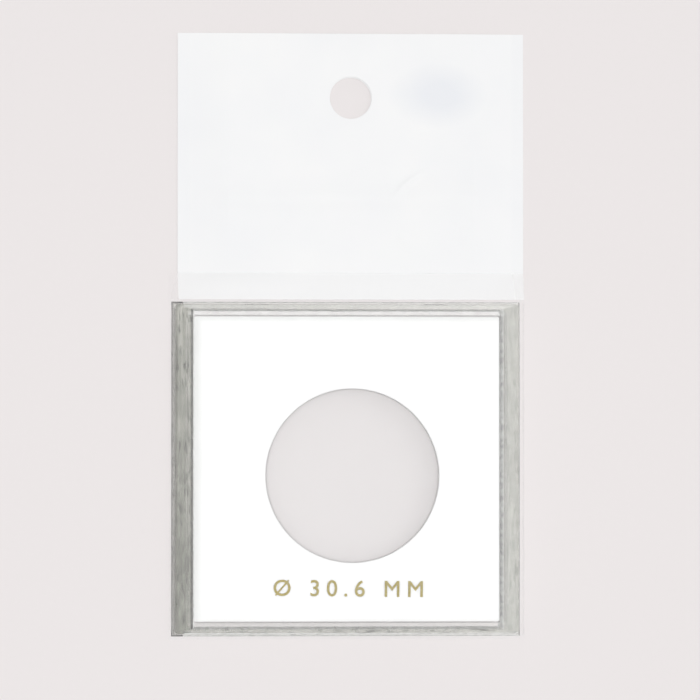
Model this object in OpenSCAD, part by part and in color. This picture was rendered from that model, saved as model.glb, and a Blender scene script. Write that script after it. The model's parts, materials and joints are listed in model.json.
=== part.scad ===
// Snap-together clear coin holder with a white coin insert, in a film bag with a hang header.
// The holder lies on its back: +Z is the way its face looks, +Y points to the hang header.
// The origin is the middle of the holder's outline, on the surface that the bag lies on.

/* [Coin] */
// Diameter of the coin that the insert takes
coin_d = 30.6; // [17:0.1:36]
// Free play of the coin in its hole, on the diameter
coin_play = 0.3; // [0.2:0.05:0.6]
// How far the hole sits right of the insert's middle
hole_dx = 1; // [-2:0.1:2]
// How far the hole sits above the insert's middle
hole_dy = -1.2; // [-2:0.1:2]

/* [Insert] */
// Width of the white insert
insert_w = 54.4; // [48:0.1:54.8]
// Height of the white insert
insert_h = 54.2; // [48:0.1:54.4]
// Thickness of the white insert
insert_t = 2.3; // [1.8:0.1:3.2]

/* [Clear shells] */
// Width of the closed holder
holder_w = 62.2; // [61.6:0.1:68]
// Height of the closed holder
holder_h = 59.5; // [59.4:0.1:66]
// Thickness of the front and back windows
window_t = 1.5; // [1:0.1:2.5]
// Width of the raised rim along the left and right sides
side_rim_w = 3.6; // [2.6:0.1:4]
// Width of the raised rim along the top and bottom
end_rim_w = 1.4; // [1.4:0.1:2.4]
// Height of the rim above the front window
front_recess = 0.6; // [0.3:0.1:1]
// Height of the rim below the back window
back_recess = 0.4; // [0.2:0.1:0.8]
// How far the tray's foot stands out beyond the cover
foot_step = 0.5; // [0.3:0.1:0.6]
// Thickness of the wall round the insert
tongue_t = 0.9; // [0.7:0.1:1]

/* [Snaps] */
// Distance of each snap from the middle, along the top and bottom walls
snap_x = 16; // [8:0.5:22]
// Length of each snap
snap_l = 4; // [2:0.5:6]
// Width of the pry notch in the cover's left and right sides
notch_w = 4.8; // [3:0.2:8]

/* [Bag] */
// Thickness of the bag's film
film_t = 0.08; // [0.05:0.01:0.15]
// Length of film past the holder's lower edge, at the open mouth
mouth_l = 0.6; // [0.4:0.2:8]
// Length over which the film comes down from the holder to the header
shoulder_l = 4.9; // [4:0.1:9]
// Width of the hang header
header_w = 61.9; // [56:0.1:62]
// Height of the hang header
header_h = 42.9; // [30:0.1:60]
// How far the header sits right of the holder's middle
header_dx = 1; // [-1.5:0.1:1.5]
// Diameter of the hang hole
hang_d = 7.5; // [5:0.1:10]
// Distance of the hang hole's middle from the header's top edge
hang_drop = 11.5; // [8:0.5:20]

/* [Hidden] */

$fn = 64;
cut = 0.5;              // how far a cutter runs past the face that it cuts

// Fits between the holder's own pieces
insert_gap = 0.2;       // insert to tongue, each side
insert_play = 0.1;      // insert to the front window
cover_gap = 0.3;        // tongue to the cover's skirt, each side
seat_gap = 0.05;        // tray to the cover's skirt, at the parting line
tongue_gap = 0.15;      // top of the tongue to the front window

// Edges and corners
edge_c = 0.35;          // chamfer on the outer edges of both shells
cover_r = 0.7;          // corner radius of the cover
tray_r = 0.45;          // corner radius of the tray's foot
bevel_w = 0.35;         // slope between a rim and its window
insert_r = 0.4;         // corner radius of the insert

// Heights of the stack, from the surface that the bag lies on
film_gap = 0.15;                                // film to holder, above and below
tray_z = film_t + film_gap;                     // back of the tray
floor_z = tray_z + back_recess + window_t;      // inside of the back window
insert_top_z = floor_z + insert_t;
ceiling_z = insert_top_z + insert_play;         // inside of the front window
window_z = ceiling_z + window_t;                // outside of the front window
holder_top_z = window_z + front_recess;
film_z = holder_top_z + film_gap;               // underside of the front film
bag_top_z = film_z + film_t;

// Outlines of the shells
pocket_w = insert_w + 2 * insert_gap;
pocket_h = insert_h + 2 * insert_gap;
tongue_w = pocket_w + 2 * tongue_t;
tongue_h = pocket_h + 2 * tongue_t;
skirt_w = tongue_w + 2 * cover_gap;
skirt_h = tongue_h + 2 * cover_gap;
cover_w = holder_w - 2 * foot_step;
cover_h = holder_h - 2 * foot_step;
opening_w = holder_w - 2 * side_rim_w;          // between the rims, at their top
opening_h = holder_h - 2 * end_rim_w;

// Snaps: round ridges on the tongue, in round grooves of the skirt
snap_r = 0.5;
snap_out = 0.24;                                // how far a ridge stands out of the tongue
snap_z = floor_z + 1.2;
snap_clear = 0.16;                              // ridge to groove, all round
notch_deep = 0.8;                               // height of the pry notch
notch_r = (notch_w * notch_w / 4 + notch_deep * notch_deep) / (2 * notch_deep);

// Bag
side_gap = 0.25;                                // film to the holder's sides
pouch_x = holder_w / 2 + side_gap;              // inside of the bag's side walls
mouth_y = -holder_h / 2 - mouth_l;
pouch_y = holder_h / 2 + 0.3;                   // where the film starts down to the header
header_y = pouch_y + shoulder_l;                // lower edge of the header
header_t = 0.2;                                 // both film layers and their print
hang_y = header_y + header_h - hang_drop;

hole_d = coin_d + coin_play;

// Rectangle with round corners, centred
module round_rect(w, h, r) {
    square([w - 2 * r, h], center = true);
    square([w, h - 2 * r], center = true);
    for (x = [-1, 1], y = [-1, 1])
        translate([x * (w / 2 - r), y * (h / 2 - r)])
            circle(r);
}

// Corner points of a centred rectangle of size s, at height z
function corners(s, z) = [
    [-s.x / 2, -s.y / 2, z],
    [s.x / 2, -s.y / 2, z],
    [s.x / 2, s.y / 2, z],
    [-s.x / 2, s.y / 2, z]
];

// Block with four sloped sides, from size a at its foot to size b at its top
module tapered_block(a, b, height) {
    polyhedron(
        points = concat(corners(a, 0), corners(b, height)),
        faces = [[0, 1, 2, 3], [7, 6, 5, 4], [0, 4, 5, 1], [1, 5, 6, 2], [2, 6, 7, 3], [3, 7, 4, 0]]
    );
}

// Slab with round corners and a chamfer round one face, which is its top
module chamfered_slab(w, h, r, height) {
    hull() {
        linear_extrude(height - edge_c)
            round_rect(w, h, r, $fn = 32);
        linear_extrude(height)
            round_rect(w - 2 * edge_c, h - 2 * edge_c, r - edge_c, $fn = 32);
    }
}

// Hollow that leaves a raised rim round a window, with sloped sides that widen upwards
module window_recess(depth) {
    wider = 2 * bevel_w * (depth + cut) / depth;
    foot = [opening_w - 2 * bevel_w, opening_h - 2 * bevel_w];
    tapered_block(foot, foot + [wider, wider], depth + cut);
}

// Round bars at the four snaps, along the top and bottom walls at distance y
module snap_bars(y, r, l) {
    for (x = [-snap_x, snap_x], side = [-1, 1])
        translate([x - l / 2, side * y, snap_z])
            rotate([0, 90, 0])
                cylinder(r = r, h = l);
}

// Rear half: foot plate with the back window, and the wall that holds the insert
module tray() {
    color("gainsboro", 0.4)
    union() {
        difference() {
            translate([0, 0, floor_z])
                mirror([0, 0, 1])
                    chamfered_slab(holder_w, holder_h, tray_r, floor_z - tray_z);
            translate([0, 0, tray_z + back_recess])
                mirror([0, 0, 1])
                    window_recess(back_recess);
        }
        difference() {
            union() {
                translate([0, 0, floor_z])
                    linear_extrude(ceiling_z - tongue_gap - floor_z)
                        round_rect(tongue_w, tongue_h, insert_r + tongue_t);
                snap_bars(tongue_h / 2 + snap_out - snap_r, snap_r, snap_l);
            }
            translate([0, 0, floor_z])
                linear_extrude(ceiling_z)
                    round_rect(pocket_w, pocket_h, insert_r);
        }
    }
}

// White plate with the hole that holds the coin
module coin_insert() {
    color("white")
    translate([0, 0, floor_z])
        difference() {
            linear_extrude(insert_t)
                round_rect(insert_w, insert_h, insert_r);
            translate([hole_dx, hole_dy, -cut])
                cylinder(d = hole_d, h = insert_t + 2 * cut);
        }
}

// Front half: window with a raised rim, and the skirt that snaps over the tray's wall
module front_cover() {
    skirt_z = floor_z + seat_gap;
    color("whitesmoke", 0.4)
    difference() {
        translate([0, 0, skirt_z])
            chamfered_slab(cover_w, cover_h, cover_r, holder_top_z - skirt_z);
        translate([0, 0, window_z])
            window_recess(front_recess);
        translate([0, 0, skirt_z - cut])
            linear_extrude(ceiling_z - skirt_z + cut)
                round_rect(skirt_w, skirt_h, insert_r + tongue_t + cover_gap);
        snap_bars(tongue_h / 2 + snap_out - snap_r, snap_r + snap_clear, snap_l + 2 * snap_clear);
        translate([-holder_w, 0, skirt_z + notch_deep - notch_r])
            rotate([0, 90, 0])
                cylinder(r = notch_r, h = 2 * holder_w);
    }
}

// Side view of the bag, given as [y, z] points, drawn out along X from x by l
module along_x(points, x, l) {
    translate([x, 0, 0])
        rotate([90, 0, 90])
            linear_extrude(l)
                polygon(points);
}

// Front sheet of the bag with its two folded sides and its shoulder down to the header
module bag_front_film() {
    outside = [[mouth_y, bag_top_z], [pouch_y, bag_top_z], [header_y, 2 * film_t]];
    inside = [[header_y, film_t], [pouch_y - film_t, film_z], [mouth_y, film_z]];
    side = concat([[mouth_y, film_t]], outside, [[header_y, film_t]]);
    color("aliceblue", 0.25)
    union() {
        along_x(concat(outside, inside), -pouch_x, 2 * pouch_x);
        for (x = [-pouch_x - film_t, pouch_x])
            along_x(side, x, film_t);
    }
}

// Back sheet of the bag, which the holder lies on
module bag_back_film() {
    color("aliceblue", 0.25)
    translate([-pouch_x - film_t, mouth_y, 0])
        cube([2 * (pouch_x + film_t), header_y - mouth_y, film_t]);
}

// White header that closes the bag's top, with the hole for a display hook
module bag_header() {
    color("white")
    difference() {
        translate([header_dx - header_w / 2, header_y, 0])
            cube([header_w, header_h, header_t]);
        translate([header_dx, hang_y, -cut])
            cylinder(d = hang_d, h = header_t + 2 * cut);
    }
}

tray();
coin_insert();
front_cover();
bag_front_film();
bag_back_film();
bag_header();
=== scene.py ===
import json
import math

import bmesh
import bpy
from mathutils import Euler, Matrix, Vector, noise


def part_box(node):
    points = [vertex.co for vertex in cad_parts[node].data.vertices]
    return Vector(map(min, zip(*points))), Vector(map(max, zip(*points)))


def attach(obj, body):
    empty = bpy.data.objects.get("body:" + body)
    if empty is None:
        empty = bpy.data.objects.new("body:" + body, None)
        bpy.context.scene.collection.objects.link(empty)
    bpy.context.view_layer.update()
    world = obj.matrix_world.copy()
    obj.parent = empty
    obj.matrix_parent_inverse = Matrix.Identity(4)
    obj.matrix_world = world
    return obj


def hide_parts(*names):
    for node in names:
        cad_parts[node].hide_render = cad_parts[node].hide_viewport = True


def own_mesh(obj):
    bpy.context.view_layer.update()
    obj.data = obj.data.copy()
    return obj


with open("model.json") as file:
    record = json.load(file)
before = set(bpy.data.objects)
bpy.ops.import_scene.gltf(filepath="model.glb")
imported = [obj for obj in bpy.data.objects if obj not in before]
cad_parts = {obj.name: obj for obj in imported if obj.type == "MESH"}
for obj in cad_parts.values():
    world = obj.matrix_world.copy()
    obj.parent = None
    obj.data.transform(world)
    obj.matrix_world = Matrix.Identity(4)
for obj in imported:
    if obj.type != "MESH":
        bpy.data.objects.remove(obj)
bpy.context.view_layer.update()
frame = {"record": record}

# The tray is the rear half of the case, injection moulded in clear styrene. Its foot stands out
# round the cover, its back window is sunk behind a rim, and the thin wall on it holds the insert.
# Four round ridges on that wall are the snaps.
mm = 0.001
foot_low, foot_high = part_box("tray")
insert_low, insert_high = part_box("coin_insert")
cover_low, cover_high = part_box("front_cover")
floor_z = insert_low[2]
insert_gap, insert_corner = 0.2 * mm, 0.4 * mm
tongue_t = 0.9 * mm
tongue_corner = insert_corner + tongue_t
side_rim, end_rim, rim_slope = 3.6 * mm, 1.4 * mm, 0.35 * mm
back_recess = 0.4 * mm
edge_cut = 0.35 * mm
left_rail_end = -29 * mm
snap_r, snap_length, snap_out = 0.5 * mm, 4 * mm, 0.24 * mm
snap_x, snap_z = 16 * mm, floor_z + 1.2 * mm
# How near a line counts as on it, and as beside it
touching, beside = 0.02 * mm, 0.1 * mm


def flat_size(low, high, margin=0.0):
    """The width and length between two corners, with a margin all round."""
    return Vector((high[0] - low[0] + 2 * margin, high[1] - low[1] + 2 * margin))


foot = flat_size(foot_low, foot_high)
cover_size = flat_size(cover_low, cover_high)
pocket = flat_size(insert_low, insert_high, insert_gap)
tongue = flat_size(insert_low, insert_high, insert_gap + tongue_t)
rim_opening = foot - 2 * Vector((side_rim, end_rim))
snap_y = tongue.y / 2 + snap_out - snap_r


def new_block(name, low, high):
    """A cube stretched between two corners and left in edit mode, as the start of a moulding."""
    bpy.ops.object.select_all(action="DESELECT")
    bpy.ops.mesh.primitive_cube_add(size=1, location=[(a + b) / 2 for a, b in zip(low, high)])
    piece = bpy.context.object
    piece.name = name
    piece.scale = [b - a for a, b in zip(low, high)]
    bpy.ops.object.transform_apply(location=True, rotation=False, scale=True)
    bpy.ops.object.mode_set(mode="EDIT")
    return piece


def pick(piece, kind, test):
    """Selects, in edit mode, the faces or edges whose middle and direction pass the test."""
    bpy.ops.mesh.select_mode(type=kind)
    bpy.ops.mesh.select_all(action="DESELECT")
    cage = bmesh.from_edit_mesh(piece.data)
    if kind == "FACE":
        for face in cage.faces:
            face.select_set(test(face.calc_center_median(), face.normal))
    else:
        for edge in cage.edges:
            a, b = (v.co for v in edge.verts)
            edge.select_set(test((a + b) / 2, (b - a).normalized()))
    bmesh.update_edit_mesh(piece.data)


def facing_up(c, n):
    """A test for pick: faces that look straight up."""
    return n.z > 0.9


def facing_down(c, n):
    """A test for pick: faces that look straight down."""
    return n.z < -0.9


def within(c, size):
    """Whether a point lies inside a rectangle about the origin."""
    return abs(c.x) < size.x / 2 and abs(c.y) < size.y / 2


def inset_to(piece, size, first=1 * mm):
    """Insets the picked face and stretches the new one to a size about the origin."""
    bpy.ops.mesh.inset(thickness=first, use_even_offset=True)
    corners = [v.co for v in bmesh.from_edit_mesh(piece.data).verts if v.select]
    now = [max(c[i] for c in corners) - min(c[i] for c in corners) for i in (0, 1)]
    bpy.ops.transform.resize(value=(size.x / now[0], size.y / now[1], 1), center_override=(0, 0, 0))


def round_uprights(piece, size, radius):
    """Rounds the four upright edges of a rectangle about the origin."""
    def at_corner(c, d):
        off_x, off_y = abs(c.x) - size.x / 2, abs(c.y) - size.y / 2
        return abs(d.z) > 0.95 and abs(off_x) < touching and abs(off_y) < touching
    pick(piece, "EDGE", at_corner)
    bpy.ops.mesh.bevel(offset=radius, segments=5, affect="EDGES")


def chamfer(piece, size, corner, z, width, finish):
    """Takes the sharp edge off an outline at one height, and gives the new faces their finish."""
    def on_outline(c, d):
        x, y = abs(c.x) - size.x / 2 + corner, abs(c.y) - size.y / 2 + corner
        off = math.hypot(max(x, 0), max(y, 0)) + min(max(x, y), 0) - corner
        return abs(c.z - z) < touching and abs(off) < touching
    pick(piece, "EDGE", on_outline)
    bpy.ops.mesh.bevel(offset=width, segments=2, affect="EDGES", material=finish)


def weld():
    """Merges the points that an operation left on top of each other in the piece in hand."""
    bpy.ops.object.mode_set(mode="EDIT")
    bpy.ops.mesh.select_all(action="SELECT")
    bpy.ops.mesh.remove_doubles(threshold=0.001 * mm)
    bpy.ops.object.mode_set(mode="OBJECT")


def split_left_rail():
    """Splits the moulding in hand where its left rail ends, so that the rail keeps its corners and its
    painted shade runs round them.
    """
    bpy.ops.mesh.select_all(action="SELECT")
    bpy.ops.mesh.bisect(plane_co=(left_rail_end, 0, 0), plane_no=(1, 0, 0))
    bpy.ops.object.mode_set(mode="OBJECT")


def finish_moulding(piece, radius, edge_slot=0, merge=False):
    """Rounds what is left of the sharp edges, as a polished mould does, and smooths the shading."""
    bpy.ops.object.mode_set(mode="OBJECT")
    bpy.ops.object.modifier_add(type="BEVEL")
    edges = piece.modifiers[-1]
    edges.width = radius
    edges.segments = 2
    edges.limit_method = "ANGLE"
    edges.angle_limit = math.radians(32)
    edges.material = edge_slot
    bpy.ops.object.modifier_apply(modifier=edges.name)
    if merge:
        weld()
    bpy.ops.object.shade_smooth_by_angle(angle=math.radians(50))
    bpy.ops.object.modifier_add(type="WEIGHTED_NORMAL")
    flats = piece.modifiers[-1]
    flats.weight, flats.keep_sharp = 100, True
    bpy.ops.object.modifier_apply(modifier=flats.name)


def cut_or_join(piece, tool, operation):
    """Applies one Boolean with a tool piece, which is then thrown away."""
    bpy.ops.object.select_all(action="DESELECT")
    piece.select_set(True)
    bpy.context.view_layer.objects.active = piece
    bpy.ops.object.modifier_add(type="BOOLEAN")
    join = piece.modifiers[-1]
    join.object, join.operation, join.solver = tool, operation, "EXACT"
    bpy.ops.object.modifier_apply(modifier=join.name)
    bpy.data.objects.remove(tool)
    weld()


def snap_bars(radius, length):
    """Four round bars where the snaps are, two on the top wall and two on the bottom, as one piece."""
    bpy.ops.object.select_all(action="DESELECT")
    bars = []
    for x in (-snap_x, snap_x):
        for y in (-snap_y, snap_y):
            bpy.ops.mesh.primitive_cylinder_add(vertices=32, radius=radius, depth=length,
                                                location=(x, y, snap_z), rotation=(0, math.pi / 2, 0))
            bars.append(bpy.context.object)
    for bar in bars:
        bar.select_set(True)
    bpy.ops.object.join()
    bpy.ops.object.transform_apply()
    return bpy.context.object


class Wire:
    """A socket in a node tree. Operators on it add Math nodes, and add() adds any other node."""

    def __init__(self, tree, socket=None):
        self.tree, self.socket = tree, socket

    def add(self, kind, settings, sockets, out=0):
        node = self.tree.nodes.new("ShaderNode" + kind)
        for name, value in settings.items():
            setattr(node, name, value)
        for name, value in sockets.items():
            if isinstance(value, Wire):
                self.tree.links.new(value.socket, node.inputs[name])
            else:
                node.inputs[name].default_value = value
        return Wire(self.tree, node.outputs[out] if node.outputs else None)

    def maths(self, operation, a, b=0.0):
        return self.add("Math", {"operation": operation}, {0: a, 1: b})

    def __add__(self, other):
        return self.maths("ADD", self, other)

    __radd__ = __add__

    def __sub__(self, other):
        return self.maths("SUBTRACT", self, other)

    def __rsub__(self, other):
        return self.maths("SUBTRACT", other, self)

    def __mul__(self, other):
        return self.maths("MULTIPLY", self, other)

    __rmul__ = __mul__

    def __gt__(self, other):
        return self.maths("GREATER_THAN", self, other)

    def __lt__(self, other):
        return self.maths("LESS_THAN", self, other)

    def size(self):
        return self.maths("ABSOLUTE", self)

    def blend(self, a, b):
        """A colour between a and b, with this value as the share of b."""
        return self.add("Mix", {"data_type": "RGBA"}, {0: self, 6: a, 7: b}, out=2)

    def noise(self, scale, stretch=(1, 1, 1), detail=3.0):
        """Noise over the piece's own coordinates, scaled in features a metre."""
        place = self.add("TexCoord", {}, {}, out="Object")
        place = self.add("Mapping", {}, {"Vector": place, "Scale": stretch})
        return self.add("TexNoise", {}, {"Vector": place, "Scale": scale, "Detail": detail})

    def spread(self, low, high, to_low=0.0, to_high=1.0):
        """This value spread from one range to another, and held at its ends."""
        return self.add("MapRange", {}, {"Value": self, "From Min": low, "From Max": high,
                                         "To Min": to_low, "To Max": to_high})


def new_finish(name):
    """A material with an empty node tree, and a wire into that tree."""
    finish = bpy.data.materials.new(name)
    finish.use_nodes = True
    finish.node_tree.nodes.clear()
    return finish, Wire(finish.node_tree)


def show(wire, shader):
    """Puts a shader on the material's output."""
    wire.add("OutputMaterial", {}, {"Surface": shader})


def clear_styrene(name, light, dark, along=(1, 1, 1), haze=0.08, frost=0.0,
                  skin=(0.86, 0.865, 0.85), marks=0.0, fade=(0, 0, 0)):
    """Clear moulded plastic. Its flow lines and mottle lie between a light and a dark tint, and fade
    is how much darker it gets for each metre along X, Y and Z. Frost is the share of light that
    stops at its skin, and marks are how much darker its few dark dashes are."""
    finish, wire = new_finish(name)
    lines = wire.noise(2300, along, 3.0).spread(0.36, 0.64)
    mottle = wire.noise(900, [max(a, 0.35) for a in along], 5.0).spread(0.38, 0.62)
    scuffs = wire.noise(900, along, 4.0).spread(0.5, 0.8)
    waves = wire.noise(180, along, 2.0)
    bump = wire.add("Bump", {}, {"Height": waves, "Strength": 0.04, "Distance": 0.4 * mm})
    place = wire.add("TexCoord", {}, {}, out="Object")
    drift = wire.add("VectorMath", {"operation": "DOT_PRODUCT"}, {0: place, 1: fade}, out="Value")
    tint = (0.4 * lines + 0.45 * mottle + drift).blend((*light, 1), (*dark, 1))
    if marks > 0:
        dashes = wire.noise(3000, [min(3 * a, 1) for a in along], 1.0).spread(0.62, 0.7)
        tint = dashes.blend(tint, [(1 - marks) * c for c in dark] + [1])
    clear = wire.add("BsdfPrincipled", {}, {
        "Base Color": tint, "Roughness": haze + 0.12 * scuffs,
        "IOR": 1.46, "Transmission Weight": 1.0, "Normal": bump})
    if frost > 0:
        outside = wire.add("BsdfPrincipled", {}, {
            "Base Color": (*skin, 1), "Roughness": 0.45, "Normal": bump})
        clear = wire.add("MixShader", {}, {0: frost * (0.75 + 0.5 * mottle), 1: clear, 2: outside})
    show(wire, clear)
    return finish


# The windows are clearest. Each rail has flow lines along it, and a tint of its own that paints the light
# and shade from the upper right: the left rail darkest, the right and bottom ones lighter, the top one
# lightest.
# The fades paint shade too: the left rail darkens towards the bottom, and the top and bottom rails
# towards the left. The frosted finishes for edges, lips, slopes and walls are lighter and darker copies
# of one plastic, given side by side as painted light and shade. The edge finish's near-black skin paints
# dark lines of shade.
down_y, along_x = (1, 0.04, 0.08), (0.04, 1, 0.08)
shell_finishes = {
    "window": clear_styrene("window_clear", (0.998, 0.998, 0.997), (0.992, 0.993, 0.991), haze=0.01),
    "left": clear_styrene("left_rail_clear", (0.78, 0.792, 0.75), (0.44, 0.452, 0.41), along=down_y,
                          haze=0.17, frost=0.04, marks=0.5, fade=(0, -9, 0)),
    "right": clear_styrene("right_rail_clear", (0.87, 0.882, 0.85), (0.68, 0.692, 0.66), along=down_y,
                           haze=0.17, frost=0.07, marks=0.1),
    "top": clear_styrene("top_rail_clear", (0.935, 0.945, 0.92), (0.81, 0.821, 0.795), along=along_x,
                         haze=0.14, frost=0.07, fade=(-16, 0, 0)),
    "bottom": clear_styrene("bottom_rail_clear", (0.87, 0.88, 0.85), (0.66, 0.671, 0.64), along=along_x,
                            haze=0.14, frost=0.05, marks=0.5, fade=(-7, 0, 0)),
    "ledge": clear_styrene("ledge_clear", (0.55, 0.555, 0.54), (0.35, 0.355, 0.34)),
    "edge": clear_styrene("edge_clear", (0.5, 0.505, 0.49), (0.4, 0.405, 0.39), frost=0.5,
                          skin=(0.12, 0.12, 0.115)),
    "lip": clear_styrene("lip_clear", (0.97, 0.972, 0.965), (0.93, 0.935, 0.925), frost=0.9,
                         skin=(0.72, 0.725, 0.71)),
    "slope": clear_styrene("slope_clear", (0.97, 0.972, 0.965), (0.93, 0.935, 0.925), frost=0.6),
    "right_shaded": clear_styrene("right_shaded_clear", (0.84, 0.845, 0.83), (0.68, 0.685, 0.67), frost=0.5,
                          skin=(0.68, 0.683, 0.67)),
    "rim": clear_styrene("rim_clear", (0.7, 0.705, 0.69), (0.5, 0.505, 0.49), frost=0.5,
                         skin=(0.42, 0.423, 0.41)),
    "wall": clear_styrene("wall_clear", (0.98, 0.982, 0.975), (0.94, 0.945, 0.935), along=along_x,
                          haze=0.12, frost=0.35)}
finish_at = list(shell_finishes).index


def new_shell(name, low, high):
    """A block, in edit mode, with all the shells' finishes in its slots."""
    shell = new_block(name, low, high)
    for finish in shell_finishes.values():
        shell.data.materials.append(finish)
    return shell


def dress_moulding(piece):
    """Sorts a shell's faces by finish, rail by rail, into lighter and darker copies as painted light and
    shade, and lets light through the shell to what is under it.
    """
    edge, ledge = finish_at("edge"), finish_at("ledge")
    for face in piece.data.polygons:
        c, made = face.center, face.material_index
        in_side = abs(c.x) - rim_opening.x / 2 + rim_slope
        in_end = abs(c.y) - rim_opening.y / 2 + rim_slope
        out_side, out_end = abs(c.x) - cover_size.x / 2, abs(c.y) - cover_size.y / 2
        past_window, past_cover = max(in_side, in_end), max(out_side, out_end)
        upright = out_side > out_end if past_cover > -edge_cut else in_side > in_end
        if upright or c.x < left_rail_end:
            rail = "left" if c.x < 0 else "right"
        else:
            rail = "bottom" if c.y < 0 else "top"
        # The chamfered ledges of the bottom rail, and the tray's ledge under the top rail, take the pale
        # frosted lip finish as a painted highlight.
        lit_lip_and_grey_ink = rail == "bottom" or rail == "top" and c.z < floor_z
        sloped = 0.3 < abs(face.normal.z) < 0.9 and past_window < rim_slope
        # Each rail's edges, ledges and slopes take their own lighter or darker finish: painted light and
        # shade.
        if made == edge and past_cover > beside:
            finish = "ledge" if rail == "left" else "lip"
        elif made == edge:
            finish = {"left": "edge", "right": "right_shaded", "top": "top", "bottom": "rim"}[rail]
        elif made == ledge and lit_lip_and_grey_ink:
            finish = "lip"
        elif made == ledge or past_cover > touching:
            finish = {"left": "ledge", "right": "right", "top": "top", "bottom": "top"}[rail]
        elif past_window > -beside and sloped:
            finish = {"left": "slope", "right": "right_shaded", "top": "rim", "bottom": "rim"}[rail]
        elif past_window > -beside:
            finish = rail
        else:
            finish = "window"
        face.material_index = finish_at(finish)
    piece.visible_shadow = False
    piece.visible_diffuse = False


tray = new_shell("tray_moulding", foot_low, (foot_high[0], foot_high[1], floor_z))
pick(tray, "FACE", facing_up)
inset_to(tray, cover_size)
inset_to(tray, tongue)
bpy.ops.mesh.inset(thickness=tongue_t, use_even_offset=True)
pick(tray, "FACE", lambda c, n: facing_up(c, n) and within(c, tongue) and not within(c, pocket))
bpy.ops.mesh.extrude_region_move(TRANSFORM_OT_translate={"value": (0, 0, foot_high[2] - floor_z)})
pick(tray, "FACE", facing_down)
inset_to(tray, rim_opening)
bpy.ops.mesh.inset(thickness=rim_slope, depth=-back_recess, use_even_offset=True)
round_uprights(tray, tongue, tongue_corner)
round_uprights(tray, pocket, insert_corner)
chamfer(tray, foot, 0, foot_low[2], edge_cut, finish_at("ledge"))
split_left_rail()
cut_or_join(tray, snap_bars(snap_r, snap_length), "UNION")
finish_moulding(tray, radius=0.14 * mm, edge_slot=finish_at("edge"), merge=True)
dress_moulding(tray)
# The wall's faces take finishes side by side, as painted light and shade: the top wall gets the pale
# frosted wall finish, the bottom wall the top rail's tint, and the walls on the right the dark ledge
# tint.
wall_foot = floor_z + 0.05 * mm
for face in tray.data.polygons:
    c = face.center
    if c.z > wall_foot and abs(c.y) > pocket.y / 2 - beside:
        face.material_index = finish_at("wall" if c.y > 0 else "top")
    elif c.z > wall_foot and c.x > 0:
        face.material_index = finish_at("ledge")
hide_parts("tray")
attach(tray, "holder")

# The insert is a plate of white styrene, cut from sheet, with a round hole for the coin.
# It drops into the tray's wall and lies on the back window. Its edges are greyer with painted shade, most
# on the left and top.
mounts = {mount["name"]: mount for mount in frame["record"]["mounts"]}
hole_at, hole_r = Vector(mounts["coin_seat"]["pos_m"]), mounts["coin_seat"]["dims"]["r_mm"] * mm
# Where the painted shade at the plate's edges is centred, and how far in from the middle it begins and is
# full.
shade_x, shade_y = 0.6 * mm, -0.3 * mm
shade_from, shade_to = 26 * mm, 27.5 * mm
insert = new_block("insert_plate", insert_low, insert_high)
round_uprights(insert, flat_size(insert_low, insert_high), insert_corner)
bpy.ops.object.mode_set(mode="OBJECT")
bpy.ops.mesh.primitive_cylinder_add(vertices=192, radius=hole_r, depth=10 * mm,
                                    location=(hole_at.x, hole_at.y, insert_high[2]))
cut_or_join(insert, bpy.context.object, "DIFFERENCE")
finish_moulding(insert, radius=0.12 * mm)

white_styrene, wire = new_finish("white_styrene")
mottle = wire.noise(140, detail=4.0)
grain = wire.noise(5200, detail=2.0)
place = wire.add("TexCoord", {}, {}, out="Object")
across = (wire.add("SeparateXYZ", {}, {"Vector": place}, out="X") - shade_x).size()
along = (wire.add("SeparateXYZ", {}, {"Vector": place}, out="Y") - shade_y).size()
# The plate's own mottle, plus painted shade towards its edges.
shade = 0.25 * mottle.spread(0.3, 0.7) + wire.maths("MAXIMUM", across, along).spread(shade_from, shade_to)
show(wire, wire.add("BsdfPrincipled", {}, {
    "Base Color": shade.blend((0.93, 0.93, 0.925, 1), (0.76, 0.765, 0.75, 1)),
    "Roughness": 0.42 + 0.14 * grain, "Specular IOR Level": 0.4,
    "Subsurface Weight": 0.7, "Subsurface Radius": (1, 1, 1), "Subsurface Scale": 1.2 * mm,
    "Normal": wire.add("Bump", {}, {"Height": grain, "Strength": 0.12, "Distance": 0.05 * mm})}))
insert.data.materials.append(white_styrene)
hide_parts("coin_insert")
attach(insert, "holder")

# The caption is gold foil, hot stamped into the insert below the hole. It gives the diameter of
# the coin that the hole takes, and the stamp is a hair off level.
foil_lift = 0.008 * mm
bpy.ops.object.select_all(action="DESELECT")
bpy.ops.object.text_add(location=(0, 0, 0))
caption = bpy.context.object
caption.name = "foil_caption"
caption.data.body = "\u00d8 30.6 MM"
caption.data.align_x = "CENTER"
caption.data.size = 4.05 * mm
caption.data.space_character = 1.5
caption.data.extrude = 0.004 * mm
caption.data.bevel_depth = 0.035 * mm
bpy.ops.object.convert(target="MESH")
caption.location = (0.3 * mm, -22.6 * mm, insert_high[2] + foil_lift)
caption.rotation_euler = (0, 0, math.radians(-0.6))
bpy.ops.object.transform_apply(location=True, rotation=True, scale=True)
gold_foil, wire = new_finish("gold_foil")
rub = wire.noise(2600, detail=5.0)
show(wire, wire.add("BsdfPrincipled", {}, {
    "Base Color": rub.spread(0.35, 0.7).blend((0.7, 0.56, 0.15, 1), (0.85, 0.73, 0.33, 1)),
    "Metallic": 1.0, "Roughness": 0.26 + 0.3 * rub,
    "Normal": wire.add("Bump", {}, {"Height": rub, "Strength": 0.15, "Distance": 0.03 * mm})}))
caption.data.materials.append(gold_foil)
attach(caption, "holder")

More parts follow.
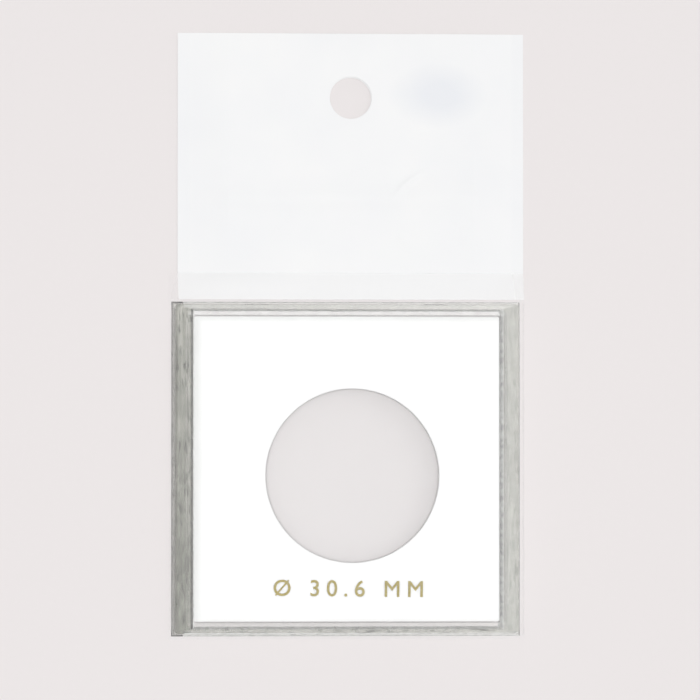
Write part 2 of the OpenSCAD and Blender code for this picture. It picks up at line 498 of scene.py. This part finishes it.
# The cover is the front half of the case, moulded in the same clear styrene. Its window is sunk
# behind a raised rim with sloped sides, and its skirt goes down round the tray's wall to the foot.
# A notch in the middle of each side lets a fingernail pry it off.
ceiling_z = insert_high[2] + 0.1 * mm
cover_corner = 0.7 * mm
skirt_gap = 0.3 * mm
skirt = flat_size(insert_low, insert_high, insert_gap + tongue_t + skirt_gap)
front_recess, rim_cut = 0.6 * mm, 0.25 * mm
notch_r, notch_deep = 4 * mm, 0.8 * mm
snap_clear = 0.16 * mm
cover = new_shell("cover_moulding", cover_low, cover_high)
pick(cover, "FACE", facing_up)
inset_to(cover, rim_opening)
bpy.ops.mesh.inset(thickness=rim_slope, depth=-front_recess, use_even_offset=True)
pick(cover, "FACE", facing_down)
inset_to(cover, skirt, first=0.5 * mm)
bpy.ops.mesh.extrude_region_move(TRANSFORM_OT_translate={"value": (0, 0, ceiling_z - cover_low[2])})
round_uprights(cover, cover_size, cover_corner)
round_uprights(cover, skirt, tongue_corner + skirt_gap)
chamfer(cover, cover_size, cover_corner, cover_high[2], edge_cut, finish_at("ledge"))
chamfer(cover, rim_opening, 0, cover_high[2], rim_cut, finish_at("edge"))
split_left_rail()
bpy.ops.mesh.primitive_cylinder_add(vertices=64, radius=notch_r, depth=100 * mm,
                                    location=(0, 0, cover_low[2] + notch_deep - notch_r),
                                    rotation=(0, math.pi / 2, 0))
cut_or_join(cover, bpy.context.object, "DIFFERENCE")
cut_or_join(cover, snap_bars(snap_r + snap_clear, snap_length + 2 * snap_clear), "DIFFERENCE")
finish_moulding(cover, radius=0.26 * mm, edge_slot=finish_at("edge"))
dress_moulding(cover)
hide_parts("front_cover")
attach(cover, "cover")

# The bag's back sheet is clear plastic film, drawn thin and cut straight. It lies flat under the
# holder, from the bag's open mouth to the header.
back_low, back_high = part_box("bag_back_film")
back_z, film_t = 0.05 * mm, 0.06 * mm


def new_sheet(name, low, high, z, across, along):
    """A flat grid of film between two corners, left in object mode with its place in its mesh."""
    bpy.ops.object.select_all(action="DESELECT")
    bpy.ops.mesh.primitive_grid_add(x_subdivisions=across, y_subdivisions=along, size=1,
                                    location=((low[0] + high[0]) / 2, (low[1] + high[1]) / 2, z))
    sheet = bpy.context.object
    sheet.name = name
    sheet.scale = (high[0] - low[0], high[1] - low[1], 1)
    bpy.ops.object.transform_apply(location=True, rotation=False, scale=True)
    return sheet


def thicken(sheet):
    """Gives a sheet the film's thickness, half on each side."""
    bpy.ops.object.select_all(action="DESELECT")
    sheet.select_set(True)
    bpy.context.view_layer.objects.active = sheet
    bpy.ops.object.modifier_add(type="SOLIDIFY")
    skin = sheet.modifiers[-1]
    skin.thickness, skin.offset = film_t, 0.0
    bpy.ops.object.modifier_apply(modifier=skin.name)
    bpy.ops.object.shade_smooth_by_angle(angle=math.radians(35))


back_film = new_sheet("back_film", back_low, back_high, back_z, across=48, along=48)
thicken(back_film)
clear_film, wire = new_finish("clear_film")
drawn = wire.noise(220, (1, 0.25, 1), 3.0)
bump = wire.add("Bump", {}, {"Height": drawn, "Strength": 0.2, "Distance": 0.2 * mm})
gloss = wire.add("BsdfGlossy", {}, {
    "Color": (1, 1, 1, 1), "Roughness": 0.06 + 0.08 * drawn, "Normal": bump})
film_tint = (0.998, 0.998, 0.998, 1)
through = wire.add("BsdfTransparent", {}, {"Color": film_tint})
glancing = wire.add("LayerWeight", {}, {"Blend": 0.5, "Normal": bump}, out="Facing")
mirrored = 0.02 + 0.16 * wire.maths("POWER", glancing, 4.0)
show(wire, wire.add("MixShader", {}, {0: mirrored, 1: through, 2: gloss}))
back_film.data.materials.append(clear_film)
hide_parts("bag_back_film")
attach(back_film, "bag")

# The header is the bag's top end: both film layers printed white and heat sealed down their edges,
# with the hang hole punched through them. The layers lie a little apart, the back one is cut a
# little short, and their holes don't quite meet.
header_low, header_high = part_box("bag_header")
hang_at, hang_r = Vector(mounts["hang_hole"]["pos_m"]), mounts["hang_hole"]["dims"]["r_mm"] * mm
header_mid = (header_low[0] + header_high[0]) / 2
seal_w, slack_w = 2 * mm, 7 * mm
sealed_z, loose_z, wave_z = 0.14 * mm, 0.34 * mm, 0.3 * mm
ridge_y, ridge_w = 48.4 * mm, 2 * mm
# Each crease has a middle, a turn in radians, a length, a width and a depth
creases = [((11.0 * mm, 51.2 * mm), 0.72, 3.0 * mm, 0.45 * mm, 0.2 * mm),
           ((10.1 * mm, 40.9 * mm), 0.1, 0.9 * mm, 0.4 * mm, 0.12 * mm)]
crease_bow = 40
header_back_z = 0.06 * mm
header_back_high = (header_high[0] - 0.2 * mm, header_high[1] - 0.3 * mm)
hole_slip_x, hole_slip_y = 0.1 * mm, 0.15 * mm
grey_from, grey_to = 28.6 * mm, 29.2 * mm
thin_at, thin_oval = Vector((16.6, 66.8, 0)) * mm, Vector((1, 1.5, 1))
thin_core, thin_reach = 1 * mm, 9 * mm


def header_rise(x, y):
    """How high the front layer lies: in loose waves, and flat at the sealed edges."""
    from_edge = min(x - header_low[0], header_high[0] - x)
    slack = min(1.0, max(0.0, (from_edge - seal_w) / slack_w))
    waves = noise.noise(Vector((x * 45, y * 60, 3.1)))
    waves += 0.5 * noise.noise(Vector((x * 110, y * 130, 7.7)))
    waves += 0.8 * math.exp(-((y - ridge_y) / ridge_w) ** 2)
    dents = 0
    for (middle_x, middle_y), turn, length, width, depth in creases:
        crease = Matrix.Rotation(-turn, 2) @ Vector((x - middle_x, y - middle_y))
        bowed = crease.y + crease_bow * crease.x ** 2
        dents += depth * math.exp(-(crease.x / length) ** 2 - (bowed / width) ** 2)
    return sealed_z + (loose_z + wave_z * waves) * slack + dents


def punch(layer, x, y):
    """Punches the hang hole through one layer of the header."""
    bpy.ops.mesh.primitive_cylinder_add(vertices=128, radius=hang_r, depth=20 * mm, location=(x, y, 0))
    cut_or_join(layer, bpy.context.object, "DIFFERENCE")


header_front = new_sheet("header_front", header_low, header_high, 0, across=200, along=138)
for v in header_front.data.vertices:
    v.co.z = header_rise(v.co.x, v.co.y)
thicken(header_front)
punch(header_front, hang_at.x, hang_at.y)
header_back = new_sheet("header_back", header_low, header_back_high, header_back_z, across=40, along=30)
thicken(header_back)
punch(header_back, hang_at.x - hole_slip_x, hang_at.y - hole_slip_y)


def white_print(wire, light, dark):
    """White ink on film: a little cloudy, greyer where the edges are sealed and where it is thin."""
    cloud = wire.noise(60, detail=3.0).spread(0.3, 0.7)
    fine = wire.noise(700, (1, 0.4, 1), 2.0)
    place = wire.add("TexCoord", {}, {}, out="Object")
    from_mid = (wire.add("SeparateXYZ", {}, {"Vector": place}, out="X") - header_mid).size()
    sealed = from_mid.spread(grey_from, grey_to)
    patch = wire.add("VectorMath", {"operation": "MULTIPLY"}, {0: place, 1: thin_oval})
    from_patch = wire.add("VectorMath", {"operation": "DISTANCE"}, {0: patch, 1: thin_at * thin_oval},
                          out="Value")
    lit_lip_and_grey_ink = 0.35 * cloud + 0.12 * sealed + from_patch.spread(thin_core, thin_reach, 1.1, 0.0)
    return wire.add("BsdfPrincipled", {}, {
        "Base Color": lit_lip_and_grey_ink.blend(light, dark), "Roughness": 0.34 + 0.1 * fine, "Specular IOR Level": 0.45,
        "Normal": wire.add("Bump", {}, {"Height": fine, "Strength": 0.03, "Distance": 0.1 * mm})})


white_film, wire = new_finish("white_film")
show(wire, white_print(wire, (0.784, 0.783, 0.78, 1), (0.705, 0.715, 0.738, 1)))
for layer in (header_front, header_back):
    layer.data.materials.append(white_film)
    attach(layer, "bag")
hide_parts("bag_header")

# The bag's front sheet goes over the holder, folds down at its two sides and comes down to the header in
# a shoulder. It is the same clear film, but the header's white print runs on over the shoulder, painted
# lighter there to make up for the shade on the steep slope.
front_low, front_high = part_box("bag_front_film")
shoulder_y, pouch_z = foot_high[1] + 0.3 * mm, front_high[2] - 0.04 * mm
side_z, fold_steps = 0.12 * mm, 8
window_reach, film_drop, sag = 27 * mm, 0.02 * mm, 0.12 * mm
ripple, shoulder_ripple, side_ripple = 0.04 * mm, 0.3 * mm, 0.06 * mm
print_from_y, thin_from_x = shoulder_y + 0.2 * mm, 30 * mm


def over_window(at):
    """How free the film is to sag: 1 over the middle of the window, down to 0 at its rim."""
    return max(0.0, 1 - (at / window_reach) ** 4)


front_film = new_sheet("front_film", front_low, front_high, pouch_z, across=72, along=120)
bpy.ops.object.mode_set(mode="EDIT")
pick(front_film, "EDGE", lambda c, d: abs(c.x) > front_high[0] - touching and abs(d.x) < 0.1)
for step in range(fold_steps):
    bpy.ops.mesh.extrude_region_move(
        TRANSFORM_OT_translate={"value": (0, 0, (side_z - pouch_z) / fold_steps)})
bpy.ops.object.mode_set(mode="OBJECT")
for v in front_film.data.vertices:
    x, y, z = v.co
    folded = (pouch_z - z) / (pouch_z - side_z)
    down = max(0.0, (y - shoulder_y) / (front_high[1] - shoulder_y))
    wave = noise.noise(Vector((x * 70, y * 55, 1.7)))
    loose = pouch_z + ripple * wave - film_drop - sag * over_window(x) * over_window(y)
    v.co.x += down * (header_mid + x * (header_high[0] - header_mid) / front_high[0] - x)
    at_header = header_rise(v.co.x, front_high[1]) + shoulder_ripple * wave * math.sin(math.pi * down)
    top = at_header + (loose - at_header) * (1 - down)
    v.co.z = top + (side_z - top) * folded
    if 0 < folded < 1:
        v.co.x += math.copysign(side_ripple * noise.noise(Vector((y * 90, z * 200, 4.4))), x)
thicken(front_film)
printed_film, wire = new_finish("printed_film")
place = wire.add("TexCoord", {}, {}, out="Object")
across = wire.add("SeparateXYZ", {}, {"Vector": place}, out="X")
below_header = (across - header_mid).size() < header_high[0] - header_mid
printed = below_header * (1 - 0.25 * (across > thin_from_x))
through = wire.add("BsdfTransparent", {}, {"Color": film_tint})
# The shoulder's ink is the header's print, painted lighter to make up for the shade on its slope.
ink_painted_lighter = white_print(wire, (0.94, 0.939, 0.936, 1), (0.905, 0.904, 0.902, 1))
show(wire, wire.add("MixShader", {}, {0: 0.02 + 0.95 * printed, 1: through, 2: ink_painted_lighter}))
for finish in (clear_film, printed_film):
    front_film.data.materials.append(finish)
for face in front_film.data.polygons:
    on_shoulder = face.center.y > print_from_y and abs(face.normal.x) < 0.7
    face.material_index = 1 if on_shoulder else 0
front_film.visible_shadow = False
front_film.visible_diffuse = False
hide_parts("bag_front_film")
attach(front_film, "bag")
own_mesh(front_film)

# The floor is a pale plain sheet of paper. The light is soft: a weak lamp from the right, a strong
# one overhead near the camera's line, and a room that is brightest straight overhead and grows
# paler again towards the horizon. The camera looks almost straight down.
bpy.ops.object.select_all(action="DESELECT")
bpy.ops.mesh.primitive_plane_add(size=3, location=(0, 0, -0.1 * mm))
floor = bpy.context.object
floor.name = "floor"
floor_paper, wire = new_finish("floor_paper")
tooth = wire.noise(900, detail=4.0)
show(wire, wire.add("BsdfPrincipled", {}, {
    "Base Color": tooth.blend((0.705, 0.672, 0.668, 1), (0.695, 0.662, 0.658, 1)), "Roughness": 0.8,
    "Specular IOR Level": 0.2}))
floor.data.materials.append(floor_paper)


def lamp(name, place, size, power, aim=(0, 0.02, 0)):
    """A square soft lamp that looks at a point, the middle of the bag."""
    bpy.ops.object.light_add(type="AREA", location=place)
    light = bpy.context.object
    light.name = name
    light.data.size, light.data.energy = size, power
    light.rotation_euler = (Vector(aim) - Vector(place)).to_track_quat("-Z", "Y").to_euler()
    return light


lamp("key_lamp", place=(0.45, 0.16, 0.55), size=0.35, power=0.4)
overhead = lamp("overhead_lamp", place=(-0.064, -0.005, 1.0), size=0.15, power=8.2)
overhead.visible_glossy = False
overhead.visible_transmission = False
room = bpy.data.worlds.new("room")
room.use_nodes = True
sky = Wire(room.node_tree)
place = sky.add("TexCoord", {}, {}, out="Generated")
right, back, up = (sky.add("SeparateXYZ", {}, {"Vector": place}, out=axis) for axis in "XYZ")
glow = up.spread(0.92, 0.98, 0.26, 0.95) + up.spread(0, 0.4, 0.35, 0)
glow = glow + 0.2 * (right + 0.3 * back) * (1 - up)
backdrop = room.node_tree.nodes["Background"]
backdrop.inputs["Color"].default_value = (0.98, 0.985, 1.0, 1)
room.node_tree.links.new(glow.socket, backdrop.inputs["Strength"])
bpy.context.scene.world = room
bpy.context.scene.view_settings.view_transform = "Standard"

aim, distance, view_width = Vector((0.75, 21.2, 2)) * mm, 900 * mm, 124.8 * mm
tilt = Euler((math.radians(1.5), math.radians(-3.7), 0))
bpy.ops.object.camera_add(location=aim + tilt.to_matrix() @ Vector((0, 0, distance)), rotation=tilt)
camera = bpy.context.object
camera.data.lens = camera.data.sensor_width * distance / view_width
bpy.context.scene.camera = camera
